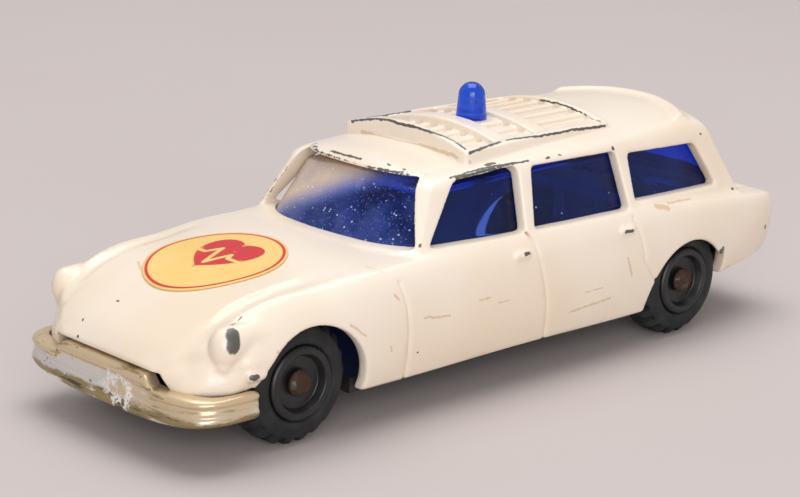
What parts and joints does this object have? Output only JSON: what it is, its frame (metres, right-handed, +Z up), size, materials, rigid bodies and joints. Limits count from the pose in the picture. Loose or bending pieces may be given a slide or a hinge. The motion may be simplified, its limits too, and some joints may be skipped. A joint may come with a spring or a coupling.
{
  "type": "toy ambulance car",
  "caption": "Small die-cast toy estate-car ambulance with roof rack, blue beacon, tinted glazing, plated bumper and free-turning wheels.",
  "frame": {"origin": "on the ground, under the middle of the car's overall length and width", "axes": "+X points forward, +Y to the car's left, +Z up"},
  "size_m": [0.0746, 0.0254, 0.0249],
  "materials": {
    "body_paint": "glossy ivory enamel with chips and grime",
    "tinted_glazing": "clear blue-tinted moulding",
    "beacon_blue": "translucent blue moulding",
    "clip_steel": "plain spring steel",
    "bumper_plating": "worn plating",
    "base_paint": "dark satin paint",
    "rivet_metal": "spun rivet heads",
    "label_paper": "printed sticker",
    "axle_steel": "rusted steel wire",
    "hub_plastic": "black moulding",
    "tyre_rubber": "black moulded tread"
  },
  "bodies": {
    "chassis": {"body_shell": "body_paint", "glazing": "tinted_glazing", "roof_beacon": "beacon_blue", "beacon_clip": "clip_steel", "front_bumper": "bumper_plating", "base_plate": "base_paint", "base_rivets": "rivet_metal", "bonnet_label": "label_paper"},
    "front_axle": {"front_axle": "axle_steel"},
    "rear_axle": {"rear_axle": "axle_steel"},
    "front_left_wheel": {"front_left_hub": "hub_plastic", "front_left_tyre": "tyre_rubber"},
    "front_right_wheel": {"front_right_hub": "hub_plastic", "front_right_tyre": "tyre_rubber"},
    "rear_left_wheel": {"rear_left_hub": "hub_plastic", "rear_left_tyre": "tyre_rubber"},
    "rear_right_wheel": {"rear_right_hub": "hub_plastic", "rear_right_tyre": "tyre_rubber"}
  },
  "joints": [
    {"name": "front_axle_turn", "type": "hinge", "parent": "chassis", "child": "front_axle", "pos_m": [0.0254, 0, 0.0054], "axis": [0, 1, 0], "continuous": true},
    {"name": "rear_axle_turn", "type": "hinge", "parent": "chassis", "child": "rear_axle", "pos_m": [-0.0219, 0, 0.0054], "axis": [0, 1, 0], "continuous": true},
    {"name": "front_left_wheel_turn", "type": "hinge", "parent": "front_axle", "child": "front_left_wheel", "pos_m": [0.0254, 0, 0.0054], "axis": [0, 1, 0], "continuous": true},
    {"name": "front_right_wheel_turn", "type": "hinge", "parent": "front_axle", "child": "front_right_wheel", "pos_m": [0.0254, 0, 0.0054], "axis": [0, 1, 0], "continuous": true},
    {"name": "rear_left_wheel_turn", "type": "hinge", "parent": "rear_axle", "child": "rear_left_wheel", "pos_m": [-0.0219, 0, 0.0054], "axis": [0, 1, 0], "continuous": true},
    {"name": "rear_right_wheel_turn", "type": "hinge", "parent": "rear_axle", "child": "rear_right_wheel", "pos_m": [-0.0219, 0, 0.0054], "axis": [0, 1, 0], "continuous": true}
  ]
}
